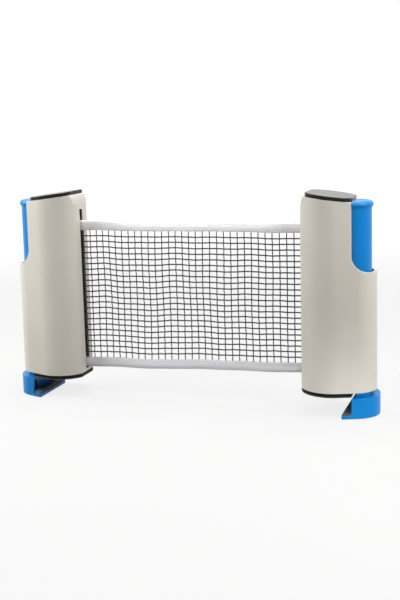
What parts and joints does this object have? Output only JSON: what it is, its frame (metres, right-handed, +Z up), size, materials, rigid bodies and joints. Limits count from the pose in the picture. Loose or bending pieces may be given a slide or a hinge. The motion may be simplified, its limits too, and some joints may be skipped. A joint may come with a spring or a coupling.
{
  "type": "table tennis net clamp",
  "caption": "Retractable table tennis net between spring-clamp posts; a thumb plunger opens each jaw and the net winds onto a sprung roller.",
  "frame": {"origin": "midway between the two posts, level with the undersides of the jaws that the set stands on", "axes": "+X along the net to the right post, +Y across the table's edge-to-edge net line to the back, +Z up"},
  "size_m": [0.356, 0.0562, 0.2],
  "materials": {
    "casing": "satin greige moulded plastic",
    "cap": "glossy umber-black moulded plastic",
    "base_plate": "satin black moulded plastic",
    "clamp_blue": "satin-gloss blue moulded plastic",
    "rubber": "dark grey ribbed rubber",
    "steel": "bright zinc-plated steel",
    "nylon": "natural white nylon",
    "net_tape": "white woven polyester tape",
    "net_thread": "black braided polyester thread"
  },
  "bodies": {
    "left_post": {"left_casing": "casing", "left_cap": "cap", "left_base_plate": "base_plate", "left_base_pad": "rubber", "left_base_screws": "steel", "left_clamp_spring": "steel", "left_spring_rod": "steel", "roller_axle": "steel", "axle_clip": "steel", "net_mesh": "net_thread", "net_top_tape": "net_tape", "net_bottom_tape": "net_tape"},
    "roller": {"roller_core": "nylon", "roller_bushes": "nylon", "rewind_spring": "steel", "net_roll": "net_tape"},
    "left_clamp": {"left_handle": "clamp_blue", "left_jaw": "clamp_blue", "left_jaw_pad": "rubber", "left_jaw_screws": "steel"},
    "right_post": {"right_casing": "casing", "right_cap": "cap", "right_base_plate": "base_plate", "right_base_pad": "rubber", "right_base_screws": "steel", "right_clamp_spring": "steel", "right_spring_rod": "steel", "net_anchor_bar": "steel"},
    "right_clamp": {"right_handle": "clamp_blue", "right_jaw": "clamp_blue", "right_jaw_pad": "rubber", "right_jaw_screws": "steel"}
  },
  "joints": [
    {"name": "net_pull", "type": "slide", "parent": "left_post", "child": "right_post", "axis": [1, 0, 0], "range_m": [-0.215, 1.532], "stiffness_N_per_m": 1, "springref_m": -0.215, "deforming": ["net_mesh", "net_top_tape", "net_bottom_tape"]},
    {"name": "roller_spin", "type": "hinge", "parent": "left_post", "child": "roller", "pos_m": [-0.13225, 0, 0.1], "axis": [0, 0, 1], "range_deg": [-705, 5017]},
    {"name": "left_clamp_slide", "type": "slide", "parent": "left_post", "child": "left_clamp", "axis": [0, 0, -1], "range_m": [0, 0.028], "stiffness_N_per_m": 400, "springref_m": -0.02, "deforming": ["left_clamp_spring"]},
    {"name": "right_clamp_slide", "type": "slide", "parent": "right_post", "child": "right_clamp", "axis": [0, 0, -1], "range_m": [0, 0.028], "stiffness_N_per_m": 400, "springref_m": -0.02, "deforming": ["right_clamp_spring"]}
  ],
  "couplings": [
    {"joint": "roller_spin", "follows": "net_pull", "rad_per_m": 57.143}
  ]
}
